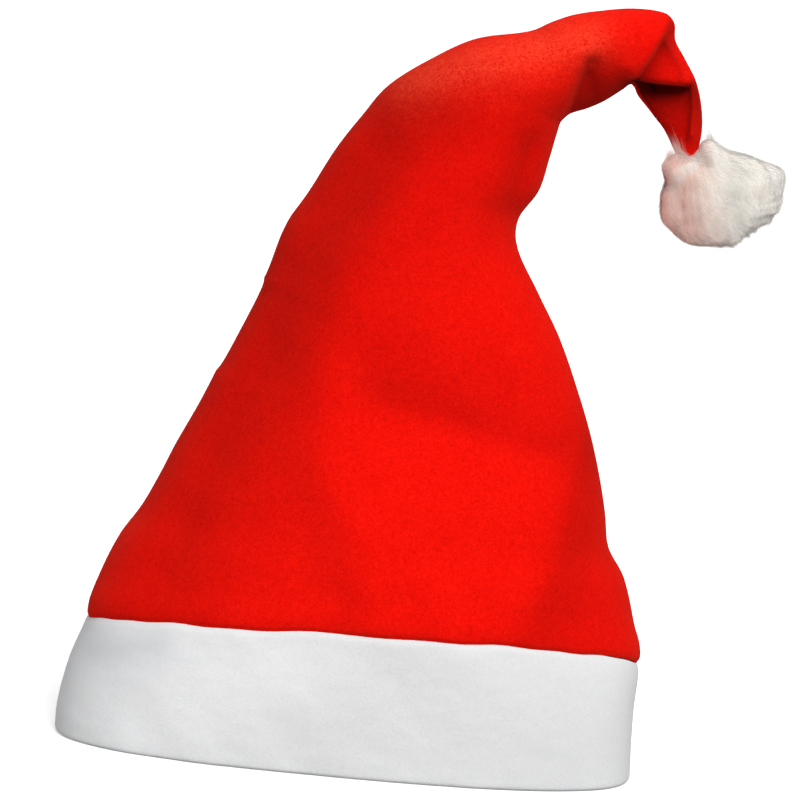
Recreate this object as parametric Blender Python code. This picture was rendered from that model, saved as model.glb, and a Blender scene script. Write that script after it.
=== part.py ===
"""A santa hat of red and white felt, standing on its rim with its top bent over to one side.

Metres, +Z up. The viewer of the hat's front looks along +Y, and +X is to their right. The hat's own
frame has the middle of the rim at x = 0, y = 0 and the floor at z = 0. At the end an empty moves the
whole hat so that the world origin is under the middle of its box.
"""

import math

import bmesh
import bpy
from mathutils import Vector

# Driving sizes
FELT = 0.0016  # one layer of the red felt
BAND_WALL = 0.0032  # the white strip folded double
GAP = 0.0003  # the clearance between two pieces that are sewn together
BAND_SIDE_HEIGHT = 0.045  # the band's height at the two side seams
BAND_ARCH = 0.012  # how much higher the band is at the middle of the front and the back
BAND_LEAN = 0.0035  # how much of that arch moves towards +X
BAND_ARCH_POWER = 0.85  # below 1 the arch falls steeply at the seams
BAND_ROUND = 0.0008  # the rounding of the fold at the rim

# The crown's sections, from the rim to the tip. Each one spans from the outer edge, the side that
# the top bends away from, to the inner edge. Depth is its size along Y at its middle, and squareness
# is the power of its superellipse: 2 is an ellipse, and more is boxier.
SECTION_COLUMNS = ("outer_x", "outer_z", "inner_x", "inner_z", "depth", "squareness")
SECTIONS = (
    (-0.1147, 0.000, 0.1147, 0.000, 0.115, 2.7),
    (-0.1146, 0.010, 0.1142, 0.010, 0.117, 2.7),
    (-0.1113, 0.028, 0.1137, 0.028, 0.119, 2.7),
    (-0.1056, 0.046, 0.1139, 0.047, 0.119, 2.6),
    (-0.1030, 0.060, 0.1112, 0.060, 0.118, 2.5),
    (-0.0960, 0.078, 0.1052, 0.079, 0.114, 2.4),
    (-0.0880, 0.091, 0.0978, 0.091, 0.110, 2.3),
    (-0.0815, 0.105, 0.0951, 0.105, 0.106, 2.3),
    (-0.0770, 0.116, 0.0922, 0.117, 0.103, 2.2),
    (-0.0680, 0.135, 0.0870, 0.134, 0.098, 2.2),
    (-0.0570, 0.160, 0.0800, 0.152, 0.092, 2.1),
    (-0.0470, 0.185, 0.0710, 0.172, 0.085, 2.1),
    (-0.0415, 0.205, 0.0610, 0.189, 0.079, 2.0),
    (-0.0325, 0.222, 0.0512, 0.206, 0.073, 2.0),
    (-0.0240, 0.239, 0.0502, 0.218, 0.068, 2.0),
    (-0.0150, 0.253, 0.0572, 0.230, 0.064, 2.0),
    (-0.0055, 0.266, 0.0602, 0.243, 0.059, 2.0),
    (0.0120, 0.2790, 0.0628, 0.2560, 0.054, 2.0),
    (0.0270, 0.2872, 0.0638, 0.2585, 0.052, 2.0),
    (0.0480, 0.2922, 0.0665, 0.2610, 0.048, 2.0),
    (0.0560, 0.2965, 0.0690, 0.2620, 0.046, 2.0),
    (0.0640, 0.3000, 0.0730, 0.2635, 0.044, 2.0),
    (0.0740, 0.3025, 0.0780, 0.2660, 0.041, 2.0),
    (0.0880, 0.3047, 0.0860, 0.272, 0.037, 2.0),
    (0.1000, 0.3040, 0.0890, 0.2745, 0.033, 2.0),
    (0.1040, 0.3005, 0.0905, 0.2735, 0.029, 2.0),
    (0.1050, 0.2940, 0.0920, 0.2705, 0.026, 2.0),
    (0.1095, 0.2870, 0.0955, 0.2665, 0.024, 2.0),
    (0.1150, 0.2780, 0.0990, 0.2625, 0.022, 2.0),
    (0.1182, 0.2670, 0.1032, 0.2580, 0.019, 2.0),
    (0.1190, 0.2580, 0.1070, 0.2520, 0.015, 2.0),
    (0.1180, 0.2500, 0.1100, 0.2470, 0.010, 2.0),
)

# The folds of the felt, as lines on the hat's front view. A fold lifts the felt by its lift on the
# line, and the lift dies away over a reach on each side: left and right are those of someone who
# follows the line over the picture from its start to its end. It is rounded over soft, and a lift
# below zero is a dent. The back's folds are given on the same view, as if seen through the hat.
FOLD_COLUMNS = ("from_x", "from_z", "to_x", "to_z", "lift", "reach_left", "reach_right", "soft")
FRONT_FOLDS = (
    (0.0020, 0.2190, -0.0185, 0.1650, 0.0050, 0.026, 0.030, 0.0060),
    (-0.0187, 0.1640, -0.0050, 0.1000, 0.0040, 0.030, 0.032, 0.0080),
    (0.0100, 0.1310, 0.0800, 0.1275, -0.0055, 0.020, 0.011, 0.0040),
    (0.0830, 0.1200, 0.0735, 0.0760, 0.0030, 0.010, 0.020, 0.0040),
    (0.0540, 0.2500, 0.0475, 0.2240, -0.0045, 0.008, 0.007, 0.0020),
    (0.0690, 0.2845, 0.0625, 0.2630, 0.0040, 0.003, 0.012, 0.0006),
    (0.0725, 0.2800, 0.0700, 0.2670, -0.0045, 0.009, 0.004, 0.0010),
    (0.1022, 0.3024, 0.0891, 0.2758, 0.0040, 0.003, 0.014, 0.0006),
    (0.1007, 0.2976, 0.0955, 0.2840, -0.0030, 0.006, 0.004, 0.0010),
    (0.1030, 0.2720, 0.1075, 0.2560, -0.0060, 0.006, 0.005, 0.0015),
)
BACK_FOLDS = (
    (0.0060, 0.1960, -0.0200, 0.1200, 0.0045, 0.026, 0.030, 0.0070),
    (0.0660, 0.1620, 0.0080, 0.1420, -0.0050, 0.012, 0.020, 0.0040),
    (0.0400, 0.2620, 0.0520, 0.2320, -0.0045, 0.009, 0.010, 0.0030),
    (0.0840, 0.2930, 0.0790, 0.2680, -0.0045, 0.009, 0.005, 0.0010),
    (0.1035, 0.2980, 0.0905, 0.2740, 0.0035, 0.004, 0.012, 0.0008),
    (0.0980, 0.2640, 0.1080, 0.2560, -0.0030, 0.005, 0.006, 0.0015),
)
SEAM_CALM = 0.5  # the folds die out towards the seams with this power of the depth

CROWN_ROWS = 50
CROWN_COLUMNS = 18
TIP_ROW_SHARE = 0.35  # how much closer together the crown's rows are at the tip

# The pompom's lobes: a centre and three half sizes each.
LOBE_COLUMNS = ("x", "y", "z", "half_x", "half_y", "half_z")
LOBES = (
    (0.1222, 0.000, 0.2312, 0.0165, 0.0185, 0.0170),
    (0.1335, 0.001, 0.2343, 0.0160, 0.0185, 0.0170),
    (0.1450, -0.001, 0.2405, 0.0090, 0.0125, 0.0085),
    (0.1430, 0.002, 0.2300, 0.0092, 0.0125, 0.0075),
    (0.1125, 0.000, 0.2435, 0.0082, 0.0100, 0.0085),
    (0.1262, 0.000, 0.2455, 0.0085, 0.0110, 0.0080),
    (0.1110, 0.001, 0.2270, 0.0070, 0.0120, 0.0080),
)
POMPOM_MIDDLE = Vector((0.1290, 0.0, 0.2335))
POMPOM_ROOT = Vector((0.1130, 0.0, 0.2523))  # where the locks of fibre start, round the crown's tip
LOCKS = 18
LOCK_PROFILE = (-0.0013, 0.0011, 0.0006)  # a lock's lift off the lobes: its edge, crest and back
LOCK_ROWS = 20
LOCK_ENDS = (0.94, 0.66, 0.84, 0.58, 0.76)  # where the locks end, from 0 at the root to 1 opposite
LOCK_DROP = 0.0014  # the step down at a lock's end
LOCK_SWIRL = 0.6  # how far a lock winds round the pompom, in radians

FRINGE_WAY = Vector((0.80, 0.0, -0.60))  # the side of the pompom where loose tufts stand out
FRINGE_LEAST = 0.30  # how nearly a tuft has to point that way
TUFT_DIRECTIONS = 34
TUFT_SIDES = 6
TUFT_WIDTH = 0.0030
TUFT_REACH = 0.0032  # how far a tuft stands out of the lobes
SOCKET_START = 0.90  # where along the crown the pompom's socket starts, well clear of the pompom
SOCKET_ROWS = 10

CROWN_RED = (0.72, 0.012, 0.006, 1.0)
BAND_WHITE = (0.78, 0.78, 0.79, 1.0)
POMPOM_WHITE = (0.80, 0.77, 0.72, 1.0)

FRONT = -1
BACK = 1
TINY = 1e-9


def clear_scene():
    for thing in list(bpy.data.objects):
        bpy.data.objects.remove(thing, do_unlink=True)


def table(columns, rows):
    return [dict(zip(columns, row)) for row in rows]


def along_the_crown(sections):
    """Each section's place along the crown, from 0 at the rim to 1 at the tip, by the mean length
    of the two edges."""
    places = [0.0]
    for here, there in zip(sections, sections[1:]):
        outer = math.hypot(there["outer_x"] - here["outer_x"], there["outer_z"] - here["outer_z"])
        inner = math.hypot(there["inner_x"] - here["inner_x"], there["inner_z"] - here["inner_z"])
        places.append(places[-1] + (outer + inner) / 2)
    return [place / places[-1] for place in places]


def slopes_of(places, values):
    """The smooth curve's slope at each section, from the sections on its two sides."""
    slopes = []
    last = len(values) - 1
    for i in range(last + 1):
        before = max(i - 1, 0)
        after = min(i + 1, last)
        slopes.append((values[after] - values[before]) / (places[after] - places[before]))
    return slopes


class Form:
    """The hat's outer form: a smooth tube through the sections, from the rim to the tip."""

    def __init__(self, sections, folds):
        self.places = along_the_crown(sections)
        self.columns = {}
        for name in SECTION_COLUMNS:
            values = [row[name] for row in sections]
            self.columns[name] = (values, slopes_of(self.places, values))
        self.folds = folds

    def column(self, name, along):
        """A column's value at a place along the crown, by a cubic between its two sections."""
        values, slopes = self.columns[name]
        i = 0
        while i < len(self.places) - 2 and along > self.places[i + 1]:
            i += 1
        span = self.places[i + 1] - self.places[i]
        t = (along - self.places[i]) / span
        start = values[i] * (1 + 2 * t) + slopes[i] * span * t
        end = values[i + 1] * (3 - 2 * t) - slopes[i + 1] * span * (1 - t)
        return start * (1 - t) ** 2 + end * t**2

    def edges(self, along):
        outer = Vector((self.column("outer_x", along), self.column("outer_z", along)))
        inner = Vector((self.column("inner_x", along), self.column("inner_z", along)))
        return outer, inner

    def relief(self, side, x, z):
        """How far the folds lift the felt off the plain form at this place."""
        lift = 0.0
        here = Vector((x, z))
        for fold in self.folds[side]:
            start = Vector((fold["from_x"], fold["from_z"]))
            line = Vector((fold["to_x"], fold["to_z"])) - start
            share = min(1.0, max(0.0, (here - start).dot(line) / line.length_squared))
            away = (here - start - line * share).length
            leftward = line.cross(here - start) / line.length
            left_share = 0.5 + 0.5 * leftward / max(away, TINY)
            reach = fold["reach_right"] + (fold["reach_left"] - fold["reach_right"]) * left_share
            rounded = math.hypot(away, fold["soft"]) - fold["soft"]
            lift += fold["lift"] * math.exp(-rounded / reach)
        return lift

    def point(self, along, turn, inset):
        """A point of the form. Turn goes from 0 at the inner seam over the front to pi at the outer
        seam, and on over the back to two pi. Inset is how far it lies under the outer face."""
        outer, inner = self.edges(along)
        middle = (outer + inner) / 2
        across = (inner - outer) / 2
        half_width = across.length
        power = 2 / self.column("squareness", along)
        cosine = math.cos(turn)
        sine = abs(math.sin(turn))
        side = FRONT if turn <= math.pi else BACK
        share = math.copysign(abs(cosine) ** power, cosine) * (half_width - inset) / half_width
        flat = middle + across * share
        bulge = sine**power * (self.column("depth", along) / 2 - inset)
        bulge += self.relief(side, flat.x, flat.y) * sine**SEAM_CALM
        return Vector((flat.x, side * (GAP / 2 + max(bulge, 0.0)), flat.y))

    def place_at_height(self, height):
        """The place along the crown where a level section has this height."""
        low, high = 0.0, 0.5
        for _ in range(40):
            place = (low + high) / 2
            if self.column("outer_z", place) < height:
                low = place
            else:
                high = place
        return place


def band_top(turn):
    """The height of the band's upper edge, which is lowest at the side seams."""
    arch = BAND_ARCH + BAND_LEAN * math.cos(turn)
    return BAND_SIDE_HEIGHT + arch * abs(math.sin(turn)) ** BAND_ARCH_POWER


def link_mesh(name, made, collection):
    """An object of the finished bmesh, with its faces turned outwards."""
    bmesh.ops.recalc_face_normals(made, faces=made.faces)
    mesh = bpy.data.meshes.new(name)
    made.to_mesh(mesh)
    made.free()
    thing = bpy.data.objects.new(name, mesh)
    collection.objects.link(thing)
    return thing


def lofted(rings, around=False):
    """A bmesh of faces from each ring of points to the next, and the rings as its vertices. With
    around, the last ring is joined to the first."""
    made = bmesh.new()
    loops = [[made.verts.new(point) for point in ring] for ring in rings]
    pairs = list(zip(loops, loops[1:]))
    if around:
        pairs.append((loops[-1], loops[0]))
    count = len(rings[0])
    for one, other in pairs:
        for i in range(count):
            j = (i + 1) % count
            made.faces.new((one[i], one[j], other[j], other[i]))
    return made, loops


def tube(name, rings, collection):
    """A solid bar through the rings, with a flat end on each side."""
    made, loops = lofted(rings)
    made.faces.new(loops[0])
    made.faces.new(loops[-1])
    return link_mesh(name, made, collection)


def crown_panel(name, form, side, collection):
    """One felt panel, from the band to the tip, between the two side seams."""
    first_turn = 0.0 if side == FRONT else math.pi
    turns = [first_turn + math.pi * i / CROWN_COLUMNS for i in range(CROWN_COLUMNS + 1)]
    starts = [form.place_at_height(band_top(turn) + GAP) for turn in turns]
    rings = []
    for row in range(CROWN_ROWS + 1):
        t = row / CROWN_ROWS
        t += TIP_ROW_SHARE * t * (1 - t)
        places = [start + (1 - start) * t for start in starts]
        outside = [on_side(form, p, a, 0.0, side) for p, a in zip(places, turns)]
        inside = [on_side(form, p, a, FELT, side) for p, a in zip(places, turns)]
        rings.append(outside + inside[::-1])
    made, loops = lofted(rings)
    for loop in (loops[0], loops[-1]):
        for i in range(CROWN_COLUMNS):
            across = len(loop) - 1 - i
            made.faces.new((loop[i], loop[i + 1], loop[across - 1], loop[across]))
    return link_mesh(name, made, collection)


def on_side(form, along, turn, inset, side):
    """A point of the form that stays on its own side of the seams."""
    point = form.point(along, turn, inset)
    point.y = side * max(abs(point.y), GAP / 2)
    return point


def band(name, form, collection):
    """The white strip: up the outside from the rim, over its upper edge and down the inside."""
    rings = []
    for i in range(2 * CROWN_COLUMNS):
        turn = math.pi * i / CROWN_COLUMNS
        top = band_top(turn)
        round_foot = (BAND_ROUND, BAND_WALL - BAND_ROUND)
        profile = [(0.0, round_foot[0]), (BAND_ROUND, 0.0)]
        profile += [(top * share, 0.0) for share in (0.25, 0.5, 0.75)]
        profile += [(top, 0.0), (top, BAND_WALL)]
        profile += [(top * share, BAND_WALL) for share in (0.66, 0.33)]
        profile += [(BAND_ROUND, BAND_WALL), (0.0, round_foot[1])]
        rings.append([at_height(form, height, turn, inset) for height, inset in profile])
    made, _ = lofted(rings, around=True)
    return link_mesh(name, made, collection)


def at_height(form, height, turn, inset):
    point = form.point(form.place_at_height(height), turn, inset)
    point.z = height
    return point


def lobe_skin(lobes, direction):
    """How far the lobes reach from the pompom's middle in this direction."""
    furthest = 0.0
    for lobe in lobes:
        halves = (lobe["half_x"], lobe["half_y"], lobe["half_z"])
        centre = (lobe["x"], lobe["y"], lobe["z"])
        ray = Vector([d / h for d, h in zip(direction, halves)])
        start = Vector([(m - c) / h for m, c, h in zip(POMPOM_MIDDLE, centre, halves)])
        a, b, c = ray.dot(ray), 2 * ray.dot(start), start.dot(start) - 1
        inside = b * b - 4 * a * c
        if inside > 0:
            furthest = max(furthest, (math.sqrt(inside) - b) / (2 * a))
    return furthest


def pompom_direction(share, turn):
    """A direction out of the pompom's middle: share 0 is at the root of the locks, and 1 opposite."""
    pole = (POMPOM_ROOT - POMPOM_MIDDLE).normalized()
    front = Vector((0, FRONT, 0))
    outward = front * math.cos(turn) + pole.cross(front) * math.sin(turn)
    return pole * math.cos(math.pi * share) + outward * math.sin(math.pi * share)


def locks_of_fibre(name, lobes, collection):
    """The pompom's main form: locks that lie side by side over the lobes, like the peel of an orange."""
    columns = LOCKS * len(LOCK_PROFILE)
    rings = []
    for row in range(1, LOCK_ROWS):
        share = row / LOCK_ROWS
        calm = math.sin(math.pi * share) ** 0.5
        ring = []
        for column in range(columns):
            lock, step = divmod(column, len(LOCK_PROFILE))
            turn = 2 * math.pi * column / columns + LOCK_SWIRL * share
            direction = pompom_direction(share, turn)
            lift = LOCK_PROFILE[step] * calm
            if share > LOCK_ENDS[lock % len(LOCK_ENDS)]:
                lift -= LOCK_DROP * calm
            ring.append(POMPOM_MIDDLE + direction * (lobe_skin(lobes, direction) + lift))
        rings.append(ring)
    made, loops = lofted(rings)
    for loop, share in ((loops[0], 0.0), (loops[-1], 1.0)):
        direction = pompom_direction(share, 0.0)
        pole = made.verts.new(POMPOM_MIDDLE + direction * lobe_skin(lobes, direction))
        for i in range(columns):
            made.faces.new((loop[i], loop[(i + 1) % columns], pole))
    return link_mesh(name, made, collection)


def tuft(name, root, tip, collection):
    """A short tapered tuft of fibre, from a root inside the pompom to its tip."""
    axis = (tip - root).normalized()
    sideways = axis.orthogonal().normalized()
    across = axis.cross(sideways)
    rings = []
    for share, girth in ((0.0, 1.0), (0.7, 0.9), (0.9, 0.55), (1.0, 0.2)):
        centre = root.lerp(tip, share)
        ring = []
        for i in range(TUFT_SIDES):
            angle = 2 * math.pi * i / TUFT_SIDES
            spoke = sideways * math.cos(angle) + across * math.sin(angle)
            ring.append(centre + spoke * TUFT_WIDTH * girth)
        rings.append(ring)
    return tube(name, rings, collection)


def hide(thing):
    thing.hide_render = True
    thing.display_type = "WIRE"


def pompom(name, form, collection, cutters):
    """The locks and loose tufts joined, and hollowed where the crown's tip goes in."""
    lobes = table(LOBE_COLUMNS, LOBES)
    body = locks_of_fibre(name, lobes, collection)
    tufts = bpy.data.collections.new("pompom_tufts")
    cutters.children.link(tufts)
    for i in range(TUFT_DIRECTIONS):
        rise = 1 - 2 * (i + 0.5) / TUFT_DIRECTIONS
        turn = i * math.pi * (3 - math.sqrt(5))
        level = math.sqrt(1 - rise * rise)
        direction = Vector((level * math.cos(turn), level * math.sin(turn), rise))
        if direction.dot(FRINGE_WAY) > FRINGE_LEAST:
            skin = lobe_skin(lobes, direction)
            root = POMPOM_MIDDLE + direction * skin * 0.6
            tip = POMPOM_MIDDLE + direction * (skin + TUFT_REACH * (1.0, 0.7, 0.85)[i % 3])
            hide(tuft(f"pompom_tuft_{i + 1}", root, tip, tufts))
    union = body.modifiers.new("tufts", "BOOLEAN")
    union.operation = "UNION"
    union.operand_type = "COLLECTION"
    union.collection = tufts
    union.solver = "EXACT"
    cut = body.modifiers.new("socket", "BOOLEAN")
    cut.operation = "DIFFERENCE"
    cut.object = tip_socket("pompom_socket", form, cutters)
    cut.solver = "EXACT"
    return body


def tip_socket(name, form, cutters):
    """The crown's last stretch, a gap wider all round and a gap longer."""
    columns = 2 * CROWN_COLUMNS
    rings = []
    for row in range(SOCKET_ROWS + 1):
        along = SOCKET_START + (1 - SOCKET_START) * row / SOCKET_ROWS
        ring = [form.point(along, 2 * math.pi * i / columns, -GAP) for i in range(columns)]
        rings.append(ring)
    onward = (middle_of(rings[-1]) - middle_of(rings[-2])).normalized()
    rings.append([point + onward * 2 * GAP for point in rings[-1]])
    socket = tube(name, rings, cutters)
    hide(socket)
    return socket


def middle_of(points):
    return sum(points, Vector()) / len(points)


def material(name, colour, roughness):
    made = bpy.data.materials.new(name)
    made.use_nodes = True
    shader = made.node_tree.nodes["Principled BSDF"]
    shader.inputs["Base Color"].default_value = colour
    shader.inputs["Roughness"].default_value = roughness
    shader.inputs["Metallic"].default_value = 0.0
    return made


def finish(thing, finish_material):
    thing.data.materials.append(finish_material)
    thing.data.shade_smooth()
    thing.data.set_sharp_from_angle(angle=math.radians(50))


def main():
    clear_scene()
    hat = bpy.data.collections.new("santa_hat")
    cutters = bpy.data.collections.new("santa_hat_cutters")
    bpy.context.scene.collection.children.link(hat)
    bpy.context.scene.collection.children.link(cutters)
    folds = {FRONT: table(FOLD_COLUMNS, FRONT_FOLDS), BACK: table(FOLD_COLUMNS, BACK_FOLDS)}
    form = Form(table(SECTION_COLUMNS, SECTIONS), folds)

    red_felt = material("red_felt", CROWN_RED, 0.95)
    white_felt = material("white_felt", BAND_WHITE, 0.95)
    fibre = material("pompom_fibre", POMPOM_WHITE, 1.0)

    pieces = [
        (crown_panel("crown_front_panel", form, FRONT, hat), red_felt),
        (crown_panel("crown_back_panel", form, BACK, hat), red_felt),
        (band("band", form, hat), white_felt),
        (pompom("pompom", form, hat, cutters), fibre),
    ]
    for thing, finish_material in pieces:
        finish(thing, finish_material)

    bpy.context.view_layer.update()
    graph = bpy.context.evaluated_depsgraph_get()
    corners = []
    for thing, _ in pieces:
        corners += [Vector(corner) for corner in thing.evaluated_get(graph).bound_box]
    low = [min(corner[axis] for corner in corners) for axis in range(3)]
    high = [max(corner[axis] for corner in corners) for axis in range(3)]
    stand = bpy.data.objects.new("hat_stand_point", None)
    hat.objects.link(stand)
    stand.location = (-(low[0] + high[0]) / 2, -(low[1] + high[1]) / 2, -low[2])
    for thing in list(hat.objects) + list(cutters.all_objects):
        if thing is not stand:
            thing.parent = stand


main()
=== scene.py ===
# %% [markdown]
# This lesson dresses a santa hat of felt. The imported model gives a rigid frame: two red panels that
# make the crown, a white band and a pompom. Everything here is in metres, with +Z up, and the hat's
# front faces -Y. The frame is loaded first, because every piece below is placed by it.

# %% Load the frame
import math

import bmesh
import bpy
import numpy as np
from mathutils import Matrix, Vector


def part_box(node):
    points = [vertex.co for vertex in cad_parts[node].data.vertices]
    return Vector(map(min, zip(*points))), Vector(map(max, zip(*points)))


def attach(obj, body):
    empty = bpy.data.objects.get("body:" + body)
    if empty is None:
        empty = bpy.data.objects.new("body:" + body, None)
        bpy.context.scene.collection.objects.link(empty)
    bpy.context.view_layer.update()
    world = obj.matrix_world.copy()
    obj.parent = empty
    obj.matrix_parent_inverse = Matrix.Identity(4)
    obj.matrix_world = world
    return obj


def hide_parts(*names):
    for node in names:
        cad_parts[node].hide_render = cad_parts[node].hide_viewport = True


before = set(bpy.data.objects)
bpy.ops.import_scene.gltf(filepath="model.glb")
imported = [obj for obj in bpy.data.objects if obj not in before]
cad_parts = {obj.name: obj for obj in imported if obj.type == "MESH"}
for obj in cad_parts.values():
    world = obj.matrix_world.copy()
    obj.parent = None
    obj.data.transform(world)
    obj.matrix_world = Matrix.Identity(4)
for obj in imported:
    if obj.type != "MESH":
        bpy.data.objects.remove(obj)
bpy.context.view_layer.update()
bpy.ops.object.select_all(action="DESELECT")

# %% [markdown]
# The crown's shape is worked out in the hat's own frame: x = 0 and y = 0 in the middle of the rim,
# and the floor at z = 0. Two places of the frame say where that middle is. The band is symmetric, so
# its box gives x, and the two panels meet in the seam plane, which gives y.

# %% Find the middle of the hat
FRONT, BACK = -1, 1
MM = 0.001

band_low, band_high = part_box("band")
front_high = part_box("crown_front_panel")[1]
back_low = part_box("crown_back_panel")[0]
HAT_MIDDLE = np.array(((band_low[0] + band_high[0]) / 2, (front_high[1] + back_low[1]) / 2, 0.0))
print("middle of the hat", HAT_MIDDLE.round(4))

# %% [markdown]
# The camera comes first, so that each piece can be looked at as soon as it is made. A long lens from
# a little above, turned slightly about its own axis, gives the picture's view: the rim is almost
# flat, and the whole hat leans a little to the left.

# %% Camera
CAMERA_DISTANCE = 2.4
CAMERA_PITCH = math.radians(7.6)
CAMERA_ROLL = math.radians(5.2)
PICTURE_SIDE = 800
METRES_PER_PIXEL = 0.000395  # at the hat's middle
SENSOR = 36.0
CAMERA_PLACE = Vector((0.0096, -2.3789, 0.4596))  # from the middle of the hat


def add_camera():
    forward = Vector((0, math.cos(CAMERA_PITCH), -math.sin(CAMERA_PITCH)))
    level_up = Vector((0, math.sin(CAMERA_PITCH), math.cos(CAMERA_PITCH)))
    right = Vector((1, 0, 0)) * math.cos(CAMERA_ROLL) + level_up * math.sin(CAMERA_ROLL)
    up = right.cross(forward)
    turn = Matrix((right, up, -forward)).transposed().to_4x4()
    place = Matrix.Translation(Vector(HAT_MIDDLE) + CAMERA_PLACE)
    bpy.ops.object.camera_add()
    camera = bpy.context.object
    camera.name = "photo_camera"
    camera.matrix_world = place @ turn
    camera.data.lens = CAMERA_DISTANCE / METRES_PER_PIXEL * SENSOR / PICTURE_SIDE
    camera.data.sensor_width = SENSOR
    camera.data.clip_end = 100
    bpy.context.scene.camera = camera
    print("camera lens", round(camera.data.lens, 1), "mm")


add_camera()

# %% [markdown]
# Materials are small graphs of nodes. One helper makes a node with its settings, and another fills
# its inputs, with plain values or with the outputs of other nodes.

# %% Helpers for materials
def fill_inputs(tree, node, inputs):
    for key, value in inputs.items():
        if isinstance(value, bpy.types.NodeSocket):
            tree.links.new(value, node.inputs[key])
        else:
            node.inputs[key].default_value = value


def add_node(tree, kind, inputs=None, **settings):
    """A new node's first output."""
    node = tree.nodes.new(kind)
    for name, value in settings.items():
        setattr(node, name, value)
    fill_inputs(tree, node, inputs or {})
    return node.outputs[0] if node.outputs else None


def new_material(name):
    made = bpy.data.materials.new(name)
    made.use_nodes = True
    return made, made.node_tree


# %% [markdown]
# The stage is a plain pale floor that runs far behind the hat, so no edge of it shows. Felt scatters
# light at its soft fibres, so broad suns suit it better than small lamps: a key from high in front
# that models the folds, and a weak one from high behind that draws the top of the bend. Two small
# lights stand for white cards, one low beside the band and one under the pompom. The floor is white
# where the camera looks at it and sends less light back up, so the red keeps its depth.

# %% Floor and light
FLOOR_SIZE = 60.0
FLOOR_SEEN = (0.93, 0.93, 0.93, 1.0)
FLOOR_SENT_BACK = (0.44, 0.44, 0.44, 1.0)
FLOOR_GLOW = 0.35
KEY_STRENGTH, KEY_ANGLE = 3.0, math.radians(26)
KEY_WAY = Vector((-0.30, 0.66, -0.60))  # the way the light travels
TOP_STRENGTH, TOP_ANGLE = 1.1, math.radians(60)
TOP_WAY = Vector((0.25, -0.35, -0.9))
LOW_PLACE, LOW_WAY = Vector((-0.42, -0.30, 0.03)), Vector((0.82, 0.57, 0.05))
LOW_POWER, LOW_SIZE = 0.42, 0.16
UNDER_PLACE, UNDER_WAY = Vector((0.150, -0.110, 0.015)), Vector((-0.020, 0.105, 0.210))
UNDER_POWER, UNDER_SIZE = 0.50, 0.03
UNDER_SPREAD, UNDER_BLEND = math.radians(26), 0.6
SKY_STRENGTH = 0.20


def add_light(name, kind, place, way, strength, **settings):
    bpy.ops.object.light_add(type=kind, location=place)
    light = bpy.context.object
    light.name = name
    light.rotation_mode = "QUATERNION"
    light.rotation_quaternion = way.to_track_quat("-Z", "Y")
    light.data.energy = strength
    for setting, value in settings.items():
        setattr(light.data, setting, value)
    return light


def add_floor():
    bpy.ops.mesh.primitive_plane_add(size=FLOOR_SIZE, location=(0, 0, 0))
    floor = bpy.context.object
    floor.name = "pale_floor"
    paper, tree = new_material("pale_paper")
    tree.nodes.clear()
    seen = add_node(tree, "ShaderNodeBsdfDiffuse", {"Color": FLOOR_SEEN})
    glow = add_node(tree, "ShaderNodeEmission", {"Strength": FLOOR_GLOW})
    bright = add_node(tree, "ShaderNodeAddShader", {0: seen, 1: glow})
    sent = add_node(tree, "ShaderNodeBsdfDiffuse", {"Color": FLOOR_SENT_BACK})
    is_camera_ray = add_node(tree, "ShaderNodeLightPath")
    choose = add_node(tree, "ShaderNodeMixShader", {0: is_camera_ray, 1: sent, 2: bright})
    add_node(tree, "ShaderNodeOutputMaterial", {"Surface": choose})
    floor.data.materials.append(paper)


add_floor()
add_light("key_sun", "SUN", (0, 0, 1), KEY_WAY, KEY_STRENGTH, angle=KEY_ANGLE)
add_light("top_sun", "SUN", (0, 0, 1), TOP_WAY, TOP_STRENGTH, angle=TOP_ANGLE)
add_light("low_card", "AREA", LOW_PLACE, LOW_WAY, LOW_POWER, size=LOW_SIZE)
under_card = add_light("under_card", "SPOT", UNDER_PLACE, UNDER_WAY, UNDER_POWER,
                       spot_size=UNDER_SPREAD, spot_blend=UNDER_BLEND, shadow_soft_size=UNDER_SIZE)
under_card.visible_camera = False
sky = bpy.data.worlds.new("studio_sky")
sky.use_nodes = True
sky.node_tree.nodes["Background"].inputs["Strength"].default_value = SKY_STRENGTH
sky.node_tree.nodes["Background"].inputs["Color"].default_value = (1, 1, 1, 1)
bpy.context.scene.world = sky
bpy.context.scene.view_settings.view_transform = "Standard"

# %% [markdown]
# The crown is one long tube that narrows from the rim to the tip and bends over to the right. A row
# of sections says how: each one runs from the outer edge, on the side that the top bends away from,
# to the inner edge, with its depth from front to back. Between the sections a cubic curve carries
# every column on smoothly, so a few dozen rows hold the picture's outline.

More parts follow.
